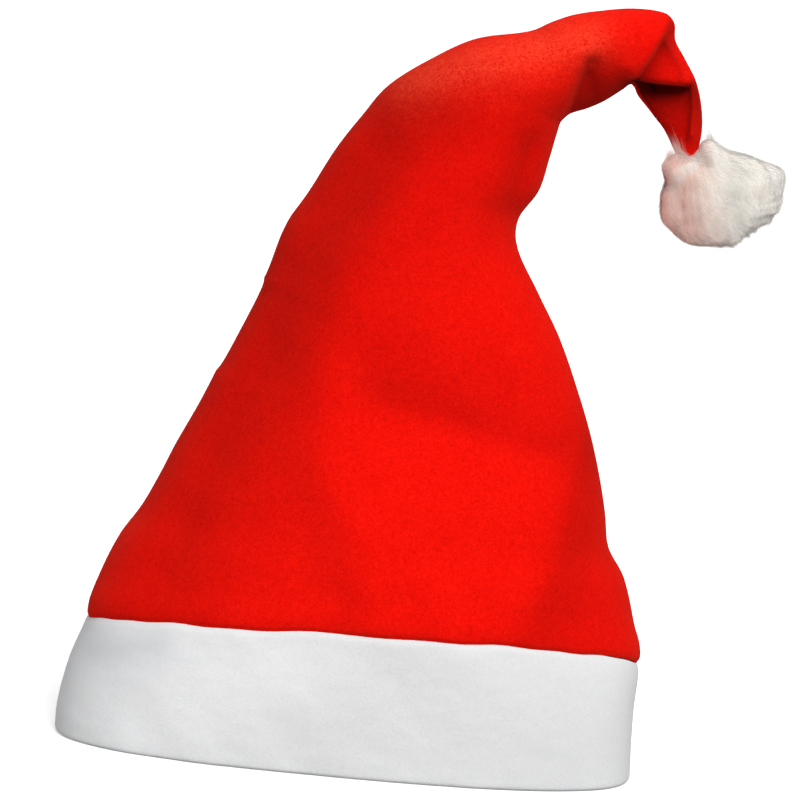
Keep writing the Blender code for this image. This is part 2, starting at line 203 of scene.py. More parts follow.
# %% The crown's sections
SECTION_COLUMNS = ("outer_x", "outer_z", "inner_x", "inner_z", "depth", "squareness")
SECTIONS = (
    (-0.1147, 0.000, 0.1147, 0.000, 0.115, 2.7),
    (-0.1146, 0.010, 0.1142, 0.010, 0.117, 2.7),
    (-0.1113, 0.028, 0.1137, 0.028, 0.119, 2.7),
    (-0.1056, 0.046, 0.1139, 0.047, 0.119, 2.6),
    (-0.1030, 0.060, 0.1112, 0.060, 0.118, 2.5),
    (-0.0960, 0.078, 0.1052, 0.079, 0.114, 2.4),
    (-0.0880, 0.091, 0.0978, 0.091, 0.110, 2.3),
    (-0.0815, 0.105, 0.0951, 0.105, 0.106, 2.3),
    (-0.0770, 0.116, 0.0922, 0.117, 0.103, 2.2),
    (-0.0680, 0.135, 0.0870, 0.134, 0.098, 2.2),
    (-0.0570, 0.160, 0.0800, 0.152, 0.092, 2.1),
    (-0.0470, 0.185, 0.0710, 0.172, 0.085, 2.1),
    (-0.0415, 0.205, 0.0610, 0.189, 0.079, 2.0),
    (-0.0325, 0.222, 0.0512, 0.206, 0.073, 2.0),
    (-0.0240, 0.239, 0.0502, 0.218, 0.068, 2.0),
    (-0.0150, 0.253, 0.0572, 0.230, 0.064, 2.0),
    (-0.0055, 0.266, 0.0602, 0.243, 0.059, 2.0),
    (0.0120, 0.2790, 0.0628, 0.2560, 0.054, 2.0),
    (0.0270, 0.2872, 0.0638, 0.2585, 0.052, 2.0),
    (0.0480, 0.2922, 0.0665, 0.2610, 0.048, 2.0),
    (0.0560, 0.2965, 0.0690, 0.2620, 0.046, 2.0),
    (0.0640, 0.3000, 0.0730, 0.2635, 0.044, 2.0),
    (0.0740, 0.3025, 0.0780, 0.2660, 0.041, 2.0),
    (0.0880, 0.3047, 0.0860, 0.272, 0.037, 2.0),
    (0.1000, 0.3040, 0.0890, 0.2745, 0.033, 2.0),
    (0.1040, 0.3005, 0.0905, 0.2735, 0.029, 2.0),
    (0.1050, 0.2940, 0.0920, 0.2705, 0.026, 2.0),
    (0.1095, 0.2870, 0.0955, 0.2665, 0.024, 2.0),
    (0.1150, 0.2780, 0.0990, 0.2625, 0.022, 2.0),
    (0.1182, 0.2670, 0.1032, 0.2580, 0.019, 2.0),
    (0.1190, 0.2580, 0.1070, 0.2520, 0.015, 2.0),
    (0.1180, 0.2500, 0.1100, 0.2470, 0.010, 2.0),
)
sections = {name: np.array([row[i] for row in SECTIONS]) for i, name in enumerate(SECTION_COLUMNS)}


def places_along_the_crown():
    """Each section's place, from 0 at the rim to 1 at the tip, by the mean length of the two edges."""
    outer = np.hypot(np.diff(sections["outer_x"]), np.diff(sections["outer_z"]))
    inner = np.hypot(np.diff(sections["inner_x"]), np.diff(sections["inner_z"]))
    lengths = np.concatenate([[0.0], np.cumsum((outer + inner) / 2)])
    return lengths / lengths[-1], lengths[-1]


places, CROWN_LENGTH = places_along_the_crown()


def smooth_value(at, places_of_rows, values):
    """A value between the rows of a table, by a cubic between the two nearest rows."""
    before = np.maximum(np.arange(len(values)) - 1, 0)
    after = np.minimum(np.arange(len(values)) + 1, len(values) - 1)
    slopes = (values[after] - values[before]) / (places_of_rows[after] - places_of_rows[before])
    i = np.clip(np.searchsorted(places_of_rows, at) - 1, 0, len(values) - 2)
    span = places_of_rows[i + 1] - places_of_rows[i]
    t = (at - places_of_rows[i]) / span
    start = values[i] * (1 + 2 * t) + slopes[i] * span * t
    end = values[i + 1] * (3 - 2 * t) - slopes[i + 1] * span * (1 - t)
    return start * (1 - t) ** 2 + end * t**2


# small puckers of the outer seam: height, push outward, reach above, reach below
OUTER_PUCKERS = (
    (0.1478, 0.0009, 0.0012, 0.014),
    (0.1852, 0.0009, 0.012, 0.0014),
    (0.2105, 0.0006, 0.012, 0.006),
)


def crown_column(name, along):
    value = smooth_value(along, places, sections[name])
    if name == "outer_x":
        height = smooth_value(along, places, sections["outer_z"])
        for at, push, above, below in OUTER_PUCKERS:
            off = height - at
            value = value - push * np.exp(-np.abs(off) / np.where(off > 0, above, below))
    return value


print("crown length along its bend", round(CROWN_LENGTH / MM), "mm")

# %% [markdown]
# Felt keeps the folds that it was packed with. Each fold is a line of points on the front view with a
# lift, and the lift dies away over one reach on its left and another on its right, for someone who
# walks along the line from its start. A short reach on one side and a long one on the other make the
# sharp, one-sided edge of a buckle; two long ones make a soft roll. The back has folds of its own.

# %% The folds of the felt
# columns: lift, reach to the left, reach to the right, softness of the crest, (x, z) points
FRONT_FOLDS = {
    "long ridge": (0.0085, 0.034, 0.020, 0.007, (
        (0.0089, 0.2256), (-0.0137, 0.1962), (-0.0187, 0.1644), (-0.0172, 0.1251),
        (-0.0073, 0.1023), (0.0056, 0.0758))),
    "left flank": (-0.0065, 0.013, 0.013, 0.006, (
        (-0.0103, 0.2422), (-0.0388, 0.1885), (-0.0454, 0.1524), (-0.0570, 0.1276),
        (-0.0650, 0.1070), (-0.0758, 0.0721))),
    "middle dent": (-0.0070, 0.024, 0.010, 0.004, (
        (0.0043, 0.1478), (0.0380, 0.1410), (0.0739, 0.1325))),
    "right roll": (0.0050, 0.008, 0.025, 0.004, (
        (0.0818, 0.1133), (0.0783, 0.0871), (0.0726, 0.0727))),
    "inner valley": (-0.0045, 0.007, 0.007, 0.002, (
        (0.0514, 0.2490), (0.0486, 0.2371), (0.0467, 0.2244))),
    "buckle ridge": (0.0030, 0.0032, 0.016, 0.0010, ((0.0700, 0.2850), (0.0630, 0.2610))),
    "buckle hollow": (-0.0058, 0.007, 0.0030, 0.0010, ((0.0712, 0.2830), (0.0665, 0.2640))),
    "buckle foot": (-0.0030, 0.006, 0.004, 0.001, ((0.0722, 0.2786), (0.0765, 0.2665))),
    "tip ridge": (0.0035, 0.0012, 0.014, 0.0004, (
        (0.1021, 0.3036), (0.0949, 0.2881), (0.0891, 0.2758))),
    "tip valley": (-0.0055, 0.006, 0.0010, 0.0005, (
        (0.1028, 0.3000), (0.0965, 0.2860), (0.0915, 0.2775))),
    "second tip ridge": (0.0025, 0.002, 0.004, 0.0004, (
        (0.0999, 0.2936), (0.1067, 0.2841), (0.1087, 0.2795))),
    "tip overhang": (-0.0105, 0.020, 0.0008, 0.0004, ((0.1112, 0.2758), (0.0911, 0.2756))),
    "tip strip": (0.0040, 0.004, 0.0012, 0.0004, (
        (0.1125, 0.2780), (0.1140, 0.2682), (0.1140, 0.2580))),
}
BACK_FOLDS = {
    "long ridge": (0.0050, 0.030, 0.028, 0.007, (
        (0.0060, 0.1960), (-0.0120, 0.1500), (-0.0200, 0.1200))),
    "middle dent": (-0.0050, 0.012, 0.020, 0.004, ((0.0660, 0.1620), (0.0080, 0.1420))),
    "inner valley": (-0.0045, 0.009, 0.010, 0.003, ((0.0400, 0.2620), (0.0520, 0.2320))),
    "buckle hollow": (-0.0045, 0.009, 0.003, 0.0008, ((0.0840, 0.2930), (0.0790, 0.2680))),
    "tip ridge": (0.0035, 0.003, 0.012, 0.0006, ((0.1035, 0.2980), (0.0905, 0.2740))),
    "tip hollow": (-0.0030, 0.005, 0.006, 0.0015, ((0.0980, 0.2640), (0.1080, 0.2560))),
}
# painted shade on the front, in the folds and hollows and on the flank turned from the key, and a
# painted shadow under the tip's overhang: share of colour lost, then as in the fold tables
PAINTED_SHADES = {
    "left flank": (0.30, 0.020, 0.060, 0.012, (
        (-0.0003, 0.2440), *FRONT_FOLDS["left flank"][-1][1:-1], (-0.0758, 0.0621))),
    "under the shoulder": (0.14, 0.010, 0.012, 0.004, ((0.0010, 0.2630), (0.0230, 0.2590))),
    "middle dent": (0.20, 0.014, 0.004, 0.003, FRONT_FOLDS["middle dent"][-1]),
    "right roll": (0.26, 0.030, 0.005, 0.003, ((0.0860, 0.1300), *FRONT_FOLDS["right roll"][-1])),
    "inner valley": (0.22, 0.006, 0.006, 0.002, FRONT_FOLDS["inner valley"][-1]),
    "buckle hollow": (0.34, 0.0075, 0.0011, 0.0005, ((0.0712, 0.2830), (0.0670, 0.2640))),
    "buckle foot": (0.22, 0.006, 0.004, 0.001, ((0.0722, 0.2786), (0.0750, 0.2665))),
    "tip valley": (0.50, 0.0060, 0.0008, 0.0005, ((0.1024, 0.2990), (0.0965, 0.2860), (0.0915, 0.2775))),
    "second tip ridge": (0.25, 0.0008, 0.0020, 0.0004, FRONT_FOLDS["second tip ridge"][-1]),
    "tip overhang": (0.84, 0.020, 0.0007, 0.0016, ((0.1098, 0.2757), (0.0925, 0.2755))),
}
# painted highlight on the top of the bend: share of the highlight colour, then as above
PAINTED_HIGHLIGHTS = {
    "shoulder": (1.10, 0.0040, 0.0050, 0.0040, (
        (0.0008, 0.2690), (0.0253, 0.2785), (0.0519, 0.2871), (0.0709, 0.2928))),
}
SEAM_CALM = 0.5  # the folds die out towards the seams with this power of the depth
WAVE_TABLE = ((0.060, 0.0007), (0.026, 0.00022), (0.009, 0.00006))  # size and height of chance waves


def chance_waves(x, z, size, seed):
    """Soft bumps of about one size, the same on each run: a few sine waves that cross at chance
    angles."""
    chance = np.random.default_rng(seed)
    total = np.zeros_like(x)
    for _ in range(9):
        angle, phase = chance.uniform(0, math.pi), chance.uniform(0, 2 * math.pi)
        length = size * chance.uniform(0.7, 1.5)
        total += np.sin(2 * math.pi * (x * math.cos(angle) + z * math.sin(angle)) / length + phase)
    return total / 3


def fold_lift(fold, x, z):
    """The lift that one fold gives to points of the front view."""
    lift, reach_left, reach_right, soft, line = fold
    nearest, left_share = np.full_like(x, np.inf), np.full_like(x, 0.5)
    for (from_x, from_z), (to_x, to_z) in zip(line, line[1:]):
        line_x, line_z = to_x - from_x, to_z - from_z
        length = math.hypot(line_x, line_z)
        off_x, off_z = x - from_x, z - from_z
        share = np.clip((off_x * line_x + off_z * line_z) / length**2, 0, 1)
        away = np.hypot(off_x - line_x * share, off_z - line_z * share)
        leftward = (line_x * off_z - line_z * off_x) / length
        closer = away < nearest
        left_share = np.where(closer, 0.5 + 0.5 * leftward / np.maximum(away, 1e-9), left_share)
        nearest = np.where(closer, away, nearest)
    reach = reach_right + (reach_left - reach_right) * left_share
    return lift * np.exp(-(np.hypot(nearest, soft) - soft) / reach)


def relief(side, x, z):
    """How far the folds and the chance waves lift the felt off the plain form."""
    folds = FRONT_FOLDS if side == FRONT else BACK_FOLDS
    lift = sum(fold_lift(fold, x, z) for fold in folds.values())
    for number, (size, height) in enumerate(WAVE_TABLE):
        lift = lift + height * chance_waves(x, z, size, seed=10 * number + 3 * side + 5)
    return lift


def crown_point(along, turn, inset=0.0):
    """Points of the crown. Turn goes from 0 at the inner seam over the front to pi at the outer seam,
    and on over the back. Inset is how far they lie under the outer face."""
    outer_x, outer_z = crown_column("outer_x", along), crown_column("outer_z", along)
    inner_x, inner_z = crown_column("inner_x", along), crown_column("inner_z", along)
    half_x, half_z = (inner_x - outer_x) / 2, (inner_z - outer_z) / 2
    half_width = np.hypot(half_x, half_z)
    power = 2 / crown_column("squareness", along)
    cosine, sine = np.cos(turn), np.abs(np.sin(turn))
    side = np.where(turn <= math.pi, FRONT, BACK)
    share = np.sign(cosine) * np.abs(cosine) ** power * (half_width - inset) / half_width
    x = (outer_x + inner_x) / 2 + half_x * share
    z = (outer_z + inner_z) / 2 + half_z * share
    bulge = sine**power * (crown_column("depth", along) / 2 - inset)
    folds = np.where(side == FRONT, relief(FRONT, x, z), relief(BACK, x, z))
    bulge = bulge + folds * sine**SEAM_CALM
    return np.stack([x, side * np.maximum(bulge, 0.0), z], axis=-1)


print(len(FRONT_FOLDS), "folds in front and", len(BACK_FOLDS), "behind")

# %% [markdown]
# The band and the crown meet in one seam that runs a little higher at the middle of the front and of
# the back than at the sides. Hand-fed cloth wanders under the needle, so a small chance wave is added
# to the line. Both pieces read their edge from this one function, so they always meet.

# %% The line of the band's seam
BAND_SIDE_HEIGHT = 0.045
BAND_ARCH = 0.012
BAND_LEAN = 0.0035
BAND_ARCH_POWER = 0.85
SEAM_WANDER = 0.0005


def band_top(turn):
    arch = BAND_ARCH + BAND_LEAN * np.cos(turn)
    wander = np.sin(5 * turn + 1.0) + 0.7 * np.sin(11 * turn + 2.2) + 0.5 * np.sin(23 * turn + 0.4)
    height = BAND_SIDE_HEIGHT + arch * np.abs(np.sin(turn)) ** BAND_ARCH_POWER
    return height + SEAM_WANDER * wander * np.abs(np.sin(turn))


def place_at_height(height):
    """The place along the crown where a level section has this height."""
    low, high = np.zeros_like(height), np.full_like(height, 0.5)
    for _ in range(30):
        middle = (low + high) / 2
        under = crown_column("outer_z", middle) < height
        low, high = np.where(under, middle, low), np.where(under, high, middle)
    return low


# %% [markdown]
# A sewn edge isn't a flat edge. The two layers are stitched face to face and turned, so on the
# outside the felt rolls in towards the stitches, and on the inside a few millimetres of it stand up
# as the seam allowance. Rows of points close to the edge carry the roll, and the fine pull of each
# stitch is a small wave along the seam.

# %% Helpers for sewn felt
FELT = 1.6 * MM
STITCH = 3.4 * MM
STITCH_PULL = 0.09
SEAM_STEPS = np.array((0.0, 0.35, 0.7, 1.1, 1.6, 2.2, 3.0, 4.0, 5.2)) * MM


def rolled_in(distance, stitch_place, depth, width):
    """How far the felt drops at a distance from a seam, with the pull of the stitches."""
    pull = 1 + STITCH_PULL * np.cos(2 * math.pi * stitch_place / STITCH)
    return depth * np.exp(-((distance / width) ** 2)) * pull


def outward_normals(points, outward):
    """The unit normal of each point of a grid, turned to the side that outward says."""
    normal = np.cross(np.gradient(points, axis=0), np.gradient(points, axis=1))
    normal /= np.maximum(np.linalg.norm(normal, axis=-1, keepdims=True), 1e-12)
    if (normal * outward).sum(axis=-1).mean() < 0:
        normal = -normal
    return normal


def linked_piece(name, points, faces):
    """A smooth piece, from points in the hat's own frame."""
    mesh = bpy.data.meshes.new(name)
    mesh.from_pydata((points + HAT_MIDDLE).reshape(-1, 3), [], faces)
    piece = bpy.data.objects.new(name, mesh)
    bpy.context.scene.collection.objects.link(piece)
    mesh.shade_smooth()
    return piece


def sheet_mesh(name, points, outward, closed_round=False):
    """A sheet through a grid of points, with its faces turned outward."""
    rows, columns = points.shape[:2]
    numbers = np.arange(rows * columns).reshape(rows, columns)
    if closed_round:
        numbers = np.concatenate([numbers, numbers[:, :1]], axis=1)
    corners = np.stack([numbers[:-1, :-1], numbers[:-1, 1:], numbers[1:, 1:], numbers[1:, :-1]], -1)
    normal = np.cross(np.gradient(points, axis=0), np.gradient(points, axis=1))
    if (normal * outward).sum(axis=-1).mean() > 0:
        corners = corners[..., ::-1]
    piece = linked_piece(name, points, corners.reshape(-1, 4).tolist())
    piece.data.validate()
    return piece


def own_points(piece):
    """A piece's points in the hat's own frame."""
    corners = np.empty(len(piece.data.vertices) * 3)
    piece.data.vertices.foreach_get("co", corners)
    return corners.reshape(-1, 3) - HAT_MIDDLE


def write_value(piece, name, values):
    layer = piece.data.attributes.new(name, "FLOAT", "POINT")
    layer.data.foreach_set("value", values.astype(np.float32))


def give_thickness(piece, thickness):
    wall = piece.modifiers.new("felt", "SOLIDIFY")
    wall.thickness = thickness
    wall.offset = -1
    bpy.context.view_layer.objects.active = piece
    bpy.ops.object.modifier_apply(modifier=wall.name)
    piece.data.calc_loop_triangles()
    print(piece.name, len(piece.data.loop_triangles), "triangles")


# %% [markdown]
# Each crown panel is a sheet of felt between the two side seams. Its columns of points are spaced by
# real length along the felt and crowd together at the seams. Its first columns and last columns are
# the seam allowance inside the hat, and its first rows are the allowance behind the band.

# %% The crown panels
PANEL_COLUMNS = 118
PANEL_ROWS = 214
TIP_ROW_SHARE = 0.62  # how much closer together the rows are at the tip
SIDE_SEAM_DEPTH, SIDE_SEAM_WIDTH = 1.3 * MM, 1.5 * MM
BAND_SEAM_DEPTH, BAND_SEAM_WIDTH = 1.1 * MM, 1.3 * MM
SIDE_ALLOWANCE = np.array((6.0, 4.0, 2.0, 0.6)) * MM
BAND_ALLOWANCE = np.array((4.0, 2.2, 0.8)) * MM
SEAM_PRESS = 0.05 * MM  # how far the panels press into each other inside the seam
ALLOWANCE_SHARE = 0.30  # of a row's half width, so that the allowance fits in the narrow tip
EDGE_CROWDING = 0.92  # how much closer together the turns are at the side seams
NARROW_ROW, NARROW_ROLL = 20 * MM, 0.25  # seams roll less where a row is narrower
PUFF_HEIGHT, PUFF_PLACE, PUFF_WIDTH = 0.9 * MM, 7 * MM, 6 * MM  # how the felt fills out over the band
FINE_TURNS = np.linspace(0, math.pi, 721)


def place_of_turn(turn, step, starts):
    """The place along the crown, on the row that lies this share of the way from the band to the tip."""
    start = np.interp(turn, *starts)
    return start + (1 - start) * step


def panel_turns(step, starts, first):
    """The turns of one row's points, spaced by length along the felt, and how far they are from a
    side seam."""
    even = np.linspace(0, 1, 361)
    turns = math.pi * (even - EDGE_CROWDING * np.sin(2 * math.pi * even) / (2 * math.pi))
    line = crown_point(place_of_turn(turns + first, step, starts), turns + first)
    lengths = np.concatenate([[0], np.cumsum(np.linalg.norm(np.diff(line, axis=0), axis=1))])
    total = lengths[-1]
    edge = SEAM_STEPS * min(1.0, total / (6 * SEAM_STEPS[-1]))
    middle = np.linspace(edge[-1], total - edge[-1], PANEL_COLUMNS)[1:-1]
    wanted = np.concatenate([edge, middle, total - edge[::-1]])
    return first + np.interp(wanted, lengths, turns), np.minimum(wanted, total - wanted)


def panel_grid(side):
    """The points between the seams, and how far each one is from a side seam and from the band."""
    first = 0.0 if side == FRONT else math.pi
    ends = np.linspace(0, 1, PANEL_ROWS)
    edge = SEAM_STEPS / CROWN_LENGTH
    spread = ends + TIP_ROW_SHARE * ends * (1 - ends)
    steps = np.concatenate([edge[:-1], edge[-1] + (1 - edge[-1]) * spread])
    starts = (FINE_TURNS + first, place_at_height(band_top(FINE_TURNS + first)))
    grid, from_side, from_band = [], [], []
    for step in steps:
        turns, side_distance = panel_turns(step, starts, first)
        within = np.clip(turns, first, first + math.pi)
        grid.append(crown_point(place_of_turn(turns, step, starts), within))
        from_side.append(side_distance)
        from_band.append(np.full(len(turns), step * CROWN_LENGTH))
    return np.array(grid), np.array(from_side), np.array(from_band)


def level_ways(vectors, axis):
    """Unit vectors without their part along one axis."""
    vectors[..., axis] = 0
    return vectors / np.maximum(np.linalg.norm(vectors, axis=-1, keepdims=True), 1e-9)


def crown_panel(name, side):
    points, from_side, from_band = panel_grid(side)
    points[..., 1] = side * np.abs(points[..., 1])
    outward = np.array((0, side, 0))
    normal = outward_normals(points, outward)
    half_width = from_side.max(axis=1, keepdims=True)
    inward = level_ways(points[:, [0, -1]].mean(axis=1, keepdims=True) - points, 1)
    roll = np.clip(half_width / NARROW_ROW, NARROW_ROLL, 1)
    drop = rolled_in(from_side, from_band, SIDE_SEAM_DEPTH, SIDE_SEAM_WIDTH) * roll
    points = points + inward * drop[..., None]
    around = np.cumsum(np.linalg.norm(np.diff(points, axis=1, prepend=points[:, :1]), axis=2), axis=1)
    drop = rolled_in(from_band, around[:1], BAND_SEAM_DEPTH, BAND_SEAM_WIDTH)
    puff = PUFF_HEIGHT * np.exp(-(((from_band - PUFF_PLACE) / PUFF_WIDTH) ** 2))
    points = points + normal * (puff - drop)[..., None]
    points[..., 1] = side * np.abs(points[..., 1])
    left, right = [], []
    for depth in SIDE_ALLOWANCE:
        reach = np.minimum(depth, ALLOWANCE_SHARE * half_width)[..., None]
        for edge, column in ((left, 0), (right, -1)):
            inner = points[:, [column]] + inward[:, [column]] * reach
            inner[..., 1] = -side * SEAM_PRESS
            edge.append(inner)
    points = np.concatenate(left + [points] + right[::-1], axis=1)
    down_in = level_ways(outward_normals(points, outward)[0], 2)
    allowance = np.array([points[0] - down_in * depth for depth in BAND_ALLOWANCE])
    allowance[..., 1] = side * np.maximum(side * allowance[..., 1], -SEAM_PRESS)
    piece = sheet_mesh(name, np.concatenate([allowance, points], axis=0), outward)
    give_thickness(piece, FELT)
    return piece


# the most painted shade and the most painted highlight that any point takes
PAINTED_VALUE_LIMIT = 0.93
BACK_PAINTED_SHARE = 0.4  # the back gets less of the painted shade and highlight than the front
# where the band's colour is greyer, as in the fold tables: painted shade at its left end, which
# turns from the key, a darker smudge and faint grey patches
BAND_SHADE_AND_GREY = {
    "left end": (0.26, 0.012, 0.012, 0.004, ((-0.1150, 0.0480), (-0.1190, 0.0040))),
    "smudge": (0.46, 0.0060, 0.0060, 0.0040, ((-0.1010, 0.0370), (-0.0760, 0.0440))),
    "left patch": (0.10, 0.014, 0.014, 0.004, ((-0.0920, 0.0130), (-0.0850, 0.0300))),
    "middle patch": (0.07, 0.016, 0.016, 0.004, ((-0.0050, 0.0200), (0.0150, 0.0380))),
    "right patch": (0.07, 0.012, 0.012, 0.004, ((0.0800, 0.0200), (0.0850, 0.0420))),
}


def write_painted_light(piece, side, painted_shade_and_grey=PAINTED_SHADES, painted_highlight=PAINTED_HIGHLIGHTS):
    """Two values at each point of the felt: painted shade and grey, and painted highlight."""
    x, _, z = own_points(piece).T
    for name, table in (("painted_shade_and_grey", painted_shade_and_grey), ("painted_highlight", painted_highlight)):
        value = sum((fold_lift(fold, x, z) for fold in table.values()), np.zeros_like(x))
        value = value if side == FRONT else BACK_PAINTED_SHARE * value
        write_value(piece, name, np.clip(value, 0, PAINTED_VALUE_LIMIT))


front_panel = crown_panel("felt_crown_front", FRONT)
back_panel = crown_panel("felt_crown_back", BACK)
write_painted_light(front_panel, FRONT)
write_painted_light(back_panel, BACK)

# %% [markdown]
# The band is one long strip of white felt, folded double along the rim. The outer layer runs down
# from the seam, turns round the soft fold that the hat stands on, and goes up again inside. A short
# profile of heights and insets describes that path, and the strip follows it all the way round.

# %% The band
BAND_COLUMNS = 360
FOLD_RADIUS = 1.7 * MM
INNER_LAYER = 3.4 * MM
INNER_LAYER_STOPS = 1.8 * MM  # under the seam
OUTER_STEPS, FOLD_STEPS, INNER_STEPS = 34, 9, 24
GIRTH_ROW = 20  # the row along which the stitches are counted
BAND_WAVE = 0.08 * MM
BAND_WAVES = ((0.045, 1.0, 71), (0.015, 0.4, 72))  # size, share and seed of chance waves
END_PULL = 0.25  # the rolls at the flat rim's ends pull mostly from front to back
BAND_ROLL_DEPTH = 0.5 * MM
CALM_AT_RIM, CALM_AT_SEAM = 8 * MM, 6 * MM  # how far from them the waves are full


def band_profile(top):
    """(height, inset) pairs from the allowance at the seam, over the outside, to the inner edge."""
    path = [(top, depth + BAND_ROLL_DEPTH) for depth in BAND_ALLOWANCE]
    path += [(top - step, 0.0) for step in SEAM_STEPS]
    low = top - SEAM_STEPS[-1]
    path += [(low + (FOLD_RADIUS - low) * share, 0.0) for share in np.linspace(0, 1, OUTER_STEPS)[1:]]
    for angle in np.linspace(0, math.pi, FOLD_STEPS)[1:]:
        path.append((FOLD_RADIUS * (1 - math.sin(angle)), FOLD_RADIUS * (1 - math.cos(angle))))
    inner_top = top - INNER_LAYER_STOPS
    path += [(FOLD_RADIUS + (inner_top - FOLD_RADIUS) * share, INNER_LAYER)
             for share in np.linspace(0, 1, INNER_STEPS)[1:]]
    return np.array(path)


def folded_band(name):
    turns = 2 * math.pi * np.arange(BAND_COLUMNS) / BAND_COLUMNS
    tops = band_top(turns)
    profiles = np.array([band_profile(top) for top in tops]).transpose(1, 0, 2)
    heights, insets = profiles[..., 0], profiles[..., 1]
    all_turns = np.broadcast_to(turns, heights.shape)
    points = crown_point(place_at_height(np.maximum(heights, 0)), all_turns, insets)
    points[..., 2] = heights
    from_top = tops - heights
    row = points[GIRTH_ROW]
    girth = np.linalg.norm(np.diff(row, axis=0, append=row[:1]), axis=1)
    around = np.broadcast_to(np.cumsum(girth), heights.shape)
    outside = np.arange(len(heights))[:, None] >= len(BAND_ALLOWANCE)
    outside = outside & (insets < FOLD_RADIUS)
    inward = points.mean(axis=1, keepdims=True) - points
    inward[..., 0] *= END_PULL
    inward = level_ways(inward, 2)
    drop = np.where(outside, rolled_in(from_top, around, BAND_ROLL_DEPTH, BAND_SEAM_WIDTH), 0)
    wave = sum(part * chance_waves(around, heights, size, seed) for size, part, seed in BAND_WAVES)
    calm = np.clip(heights / CALM_AT_RIM, 0, 1) * np.clip(from_top / CALM_AT_SEAM, 0, 1)
    drop = drop - BAND_WAVE * wave * calm
    points = points + inward * drop[..., None]
    points[..., 2] = np.maximum(points[..., 2], 0.0)
    outward = points - points.mean(axis=1, keepdims=True)
    outward = outward * np.where(insets < FOLD_RADIUS, 1, -1)[..., None]
    piece = sheet_mesh(name, points, outward, closed_round=True)
    give_thickness(piece, FELT)
    return piece


band = folded_band("felt_band")

# %% [markdown]
# The pompom is a loose ball of fine fibre, bound where the hat's tip goes in. A soft body gives it
# its form. A table of reaches round its middle, on the front view, gives the outline, with small
# scallops at the lower right. Shallow locks run over the body from the root, and a few soft folds lie
# where the fibre was pulled to one side.

# %% The pompom's soft body
POMPOM_OUTLINE = np.array((  # degrees up from +X, reach in millimetres
    (-23, 21.0), (-11, 22.6), (-2, 24.2), (12, 24.2), (21, 25.6), (29, 27.2), (37, 26.0), (44, 23.8),
    (57, 21.0), (72, 19.4), (84, 19.5), (96, 21.6), (106, 24.2), (114, 24.4), (122, 23.0),
    (132, 23.4), (143, 26.8), (154, 27.6), (161, 26.4), (169, 24.2), (182, 24.2), (196, 25.1),
    (207, 25.5), (216, 24.6), (230, 24.1), (241, 23.3), (252, 21.7), (271, 20.1), (281, 18.9),
    (289, 19.6), (297, 19.0), (312, 18.2), (322, 19.6), (337, 21.0)))
POMPOM_HALF_DEPTH = 17.5 * MM
SCALLOP_HEIGHT, SCALLOPS_A_TURN, SCALLOPED_WAY = 0.8 * MM, 27, math.radians(-27)
POMPOM_MIDDLE = np.array((0.1290, 0.0, 0.2335))
POMPOM_ROOT = np.array((0.1130, 0.0, 0.2523))
UNDER_THE_FIBRES = 1.1 * MM
LOCK_HEIGHT = 0.35 * MM
LUMPS = ((0.016, 0.60 * MM), (0.007, 0.15 * MM))  # size and height of chance waves
POMPOM_FOLDS = (
    (2.6 * MM, 0.0022, 0.0032, 0.0008, (
        (0.1150, 0.2478), (0.1095, 0.2428), (0.1066, 0.2350), (0.1068, 0.2270))),
    (-2.4 * MM, 0.0030, 0.0022, 0.0010, ((0.1060, 0.2470), (0.1110, 0.2475), (0.1200, 0.2490))),
    (-1.4 * MM, 0.0040, 0.0030, 0.0010, ((0.1130, 0.2440), (0.1110, 0.2330), (0.1150, 0.2230))),
    (0.8 * MM, 0.0060, 0.0030, 0.0010, ((0.1250, 0.2500), (0.1380, 0.2450), (0.1500, 0.2460))),
)
BODY_ROWS, BODY_COLUMNS = 120, 190

pole = (POMPOM_ROOT - POMPOM_MIDDLE) / np.linalg.norm(POMPOM_ROOT - POMPOM_MIDDLE)
front_way = np.array((0.0, -1.0, 0.0))
cross_way = np.cross(pole, front_way)


def pompom_way(share, turn):
    """Directions out of the pompom's middle: share 0 at the root, 1 opposite to it."""
    outward = front_way * np.cos(turn)[..., None] + cross_way * np.sin(turn)[..., None]
    share = share[..., None]
    return pole * np.cos(math.pi * share) + outward * np.sin(math.pi * share)


def round_form(ways):
    """How far the plain form reaches from the pompom's middle."""
    last_two, first_two = POMPOM_OUTLINE[-2:] - (360, 0), POMPOM_OUTLINE[:2] + (360, 0)
    wrapped = np.concatenate([last_two, POMPOM_OUTLINE, first_two])
    turn = np.arctan2(ways[..., 2], ways[..., 0])
    first_angle = POMPOM_OUTLINE[0, 0]
    angle = (np.degrees(turn) - first_angle) % 360 + first_angle
    outline = smooth_value(angle, wrapped[:, 0], wrapped[:, 1] * MM) - UNDER_THE_FIBRES
    scalloped = np.clip(np.cos(turn - SCALLOPED_WAY), 0, 1) ** 5 * (1 - ways[..., 1] ** 2)
    phase = SCALLOPS_A_TURN * turn + 2 * np.sin(7 * turn) + 10 * ways[..., 1] ** 2
    outline = outline + SCALLOP_HEIGHT * scalloped * np.sin(phase)
    flat_part = np.hypot(ways[..., 0], ways[..., 2])
    return 1 / np.hypot(flat_part / outline, ways[..., 1] / POMPOM_HALF_DEPTH)


def lock_relief(ways):
    """Soft locks that wind a little round the pompom on their way from the root, from -1 to 1."""
    share = np.arccos(np.clip((ways * pole).sum(-1), -1, 1)) / math.pi
    turn = np.arctan2((ways * cross_way).sum(-1), (ways * front_way).sum(-1))
    wound = turn + 0.9 * share + 0.25 * np.sin(3 * turn + 5 * share)
    big = np.sin(7 * wound + 2.0 * np.sin(4 * share * math.pi))
    small = np.sin(19 * wound + 3.1 * share * math.pi + 1.3)
    return (0.6 * big + 0.4 * small) * np.sin(math.pi * share) ** 0.6


